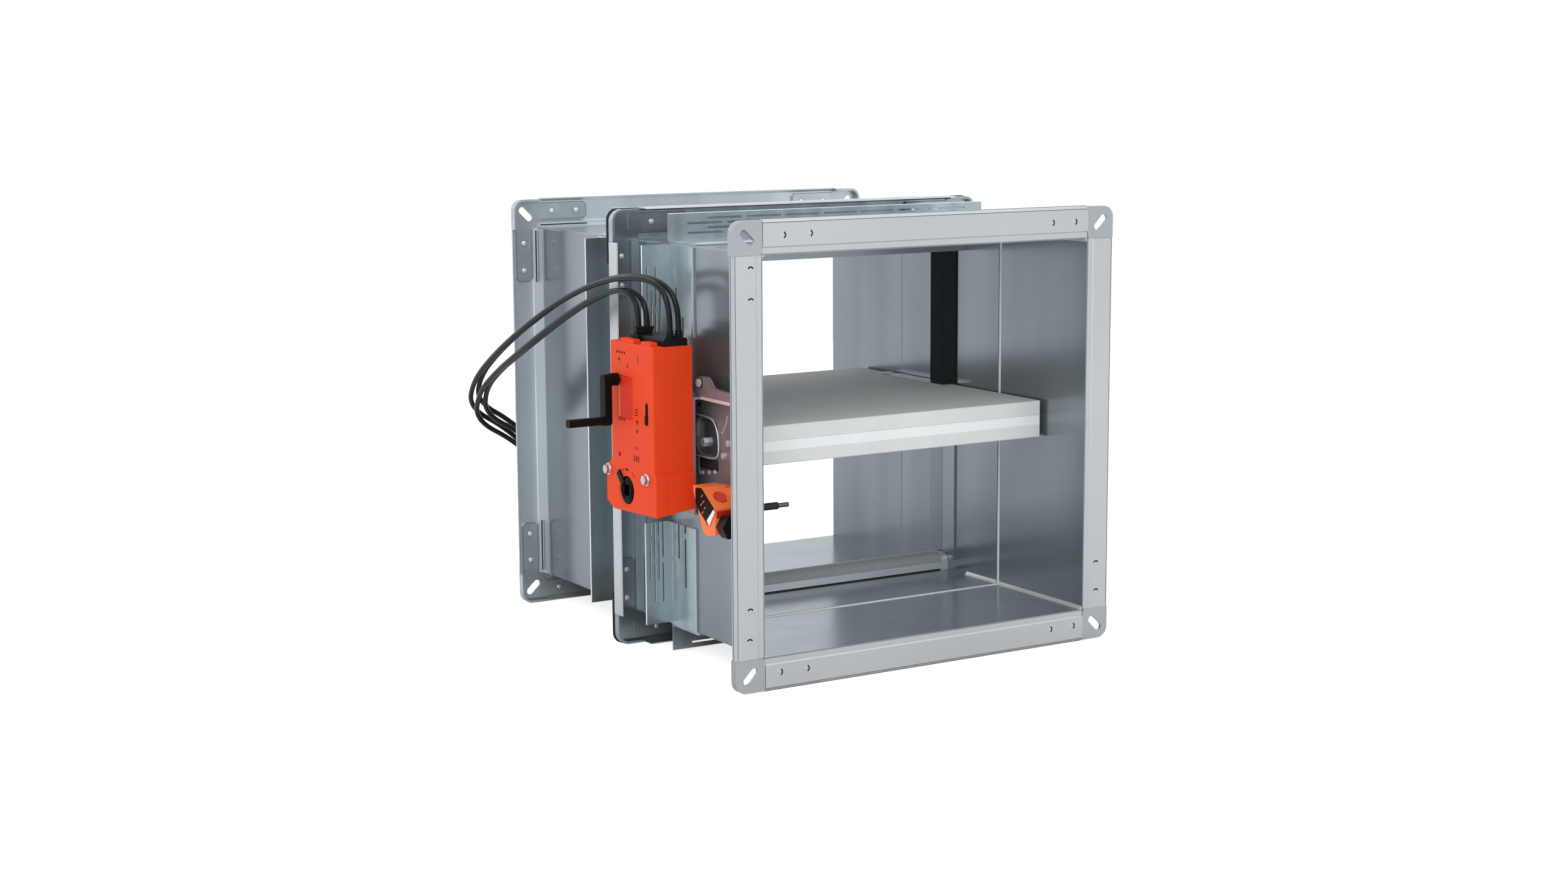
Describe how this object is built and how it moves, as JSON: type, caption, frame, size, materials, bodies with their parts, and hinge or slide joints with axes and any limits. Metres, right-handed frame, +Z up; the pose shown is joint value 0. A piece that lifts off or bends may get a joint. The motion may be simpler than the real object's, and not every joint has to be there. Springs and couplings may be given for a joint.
{
  "type": "motorised fire damper",
  "caption": "Square duct fire damper with slide-on flanges, a layered blade on a linkage, stops and seals, an orange spring-return actuator and a thermal trip unit.",
  "frame": {"origin": "centre of the duct opening, at the outer face of the front flange", "axes": "+X across the duct, away from the actuator; +Y into the duct along the air path; +Z up"},
  "size_m": [0.5624, 0.571, 0.47],
  "materials": {
    "galvanised_rail": "galvanised sheet, light even sheen",
    "galvanised_casing": "galvanised sheet, satin with faint rolling marks",
    "galvanised_section": "galvanised sheet, satin",
    "zinc_steel": "bright zinc-plated steel",
    "board_outer": "calcium silicate board, fine grain",
    "board_middle": "pale calcium silicate board",
    "seal_dark": "matt black expanding seal strip",
    "seal_light": "light steel strip",
    "gasket_black": "matt black gasket",
    "seal_roll": "grey felted seal roll",
    "housing_orange": "orange housing with fine texture",
    "black_plastic": "black moulded plastic",
    "cable_black": "black cable sheath",
    "label": "black face with a white wedge",
    "probe_black": "black coated probe tube",
    "button": "orange-red glossy button",
    "ferrule": "tinned wire end"
  },
  "bodies": {
    "root": {"front_flange_rails": "galvanised_rail", "rear_flange_rails": "galvanised_rail", "front_flange_corners": "galvanised_rail", "rear_flange_corners": "galvanised_rail", "middle_frame_rails": "galvanised_rail", "middle_frame_corners": "galvanised_rail", "frame_gasket": "gasket_black", "front_casing": "galvanised_casing", "middle_casing": "galvanised_casing", "rear_casing": "galvanised_casing", "slotted_angles": "galvanised_section", "plain_angles": "galvanised_section", "lower_stop": "zinc_steel", "lower_seal_roll": "seal_roll", "upper_stop": "zinc_steel", "upper_seal_roll": "seal_roll", "upper_side_seals": "seal_dark", "lower_side_seals": "seal_dark", "lower_side_strips": "seal_light", "shaft_bushes": "black_plastic", "mounting_bracket": "zinc_steel", "upper_bracket": "zinc_steel", "bracket_screws": "zinc_steel", "actuator_base": "housing_orange", "actuator_cover": "housing_orange", "actuator_screws": "zinc_steel", "gland_cover": "black_plastic", "supply_cable": "cable_black", "switch_cable": "cable_black", "trip_cable": "cable_black", "signal_cable": "cable_black", "cable_ends": "ferrule", "cable_boots": "black_plastic", "trip_housing": "housing_orange", "trip_label": "label", "trip_probe": "probe_black", "probe_tip": "probe_black", "trip_connector": "black_plastic"},
    "blade": {"blade_bottom_board": "board_outer", "blade_middle_board": "board_middle", "blade_top_board": "board_outer", "blade_brackets": "zinc_steel", "left_stub_shaft": "zinc_steel", "right_stub_shaft": "zinc_steel", "shaft_lever": "zinc_steel", "shaft_lever_pin": "zinc_steel"},
    "drive": {"drive_shaft": "zinc_steel", "spindle_hub": "black_plastic", "position_pointer": "black_plastic", "drive_lever": "zinc_steel", "drive_lever_pin": "zinc_steel"},
    "link": {"link_rod": "zinc_steel"},
    "crank": {"crank_hub": "black_plastic", "crank_arm": "black_plastic", "crank_grip": "black_plastic"},
    "lock": {"lock_slider": "black_plastic"},
    "button": {"test_button": "button"}
  },
  "joints": [
    {"name": "blade_turn", "type": "hinge", "parent": "root", "child": "blade", "pos_m": [0, 0.25, 0], "axis": [1, 0, 0], "range_deg": [0, 90]},
    {"name": "drive_turn", "type": "hinge", "parent": "root", "child": "drive", "pos_m": [-0.25, 0.157, -0.047], "axis": [1, 0, 0], "range_deg": [0, 90]},
    {"name": "rod_turn", "type": "hinge", "parent": "drive", "child": "link", "pos_m": [-0.2115, 0.15214, -0.01943], "axis": [1, 0, 0], "range_deg": [-90, 0]},
    {"name": "crank_turn", "type": "hinge", "parent": "root", "child": "crank", "pos_m": [-0.28, 0.174, 0.066], "axis": [1, 0, 0], "range_deg": [-1080, 0]},
    {"name": "lock_slide", "type": "slide", "parent": "root", "child": "lock", "axis": [0, 0, 1], "range_m": [0, 0.0122]},
    {"name": "button_press", "type": "slide", "parent": "root", "child": "button", "axis": [0, 0.5692, -0.8222], "range_m": [0, 0.0015], "stiffness_N_per_m": 400}
  ],
  "couplings": [
    {"joint": "drive_turn", "follows": "blade_turn", "ratio": 1},
    {"joint": "rod_turn", "follows": "blade_turn", "ratio": -1},
    {"joint": "crank_turn", "follows": "blade_turn", "ratio": -12}
  ]
}
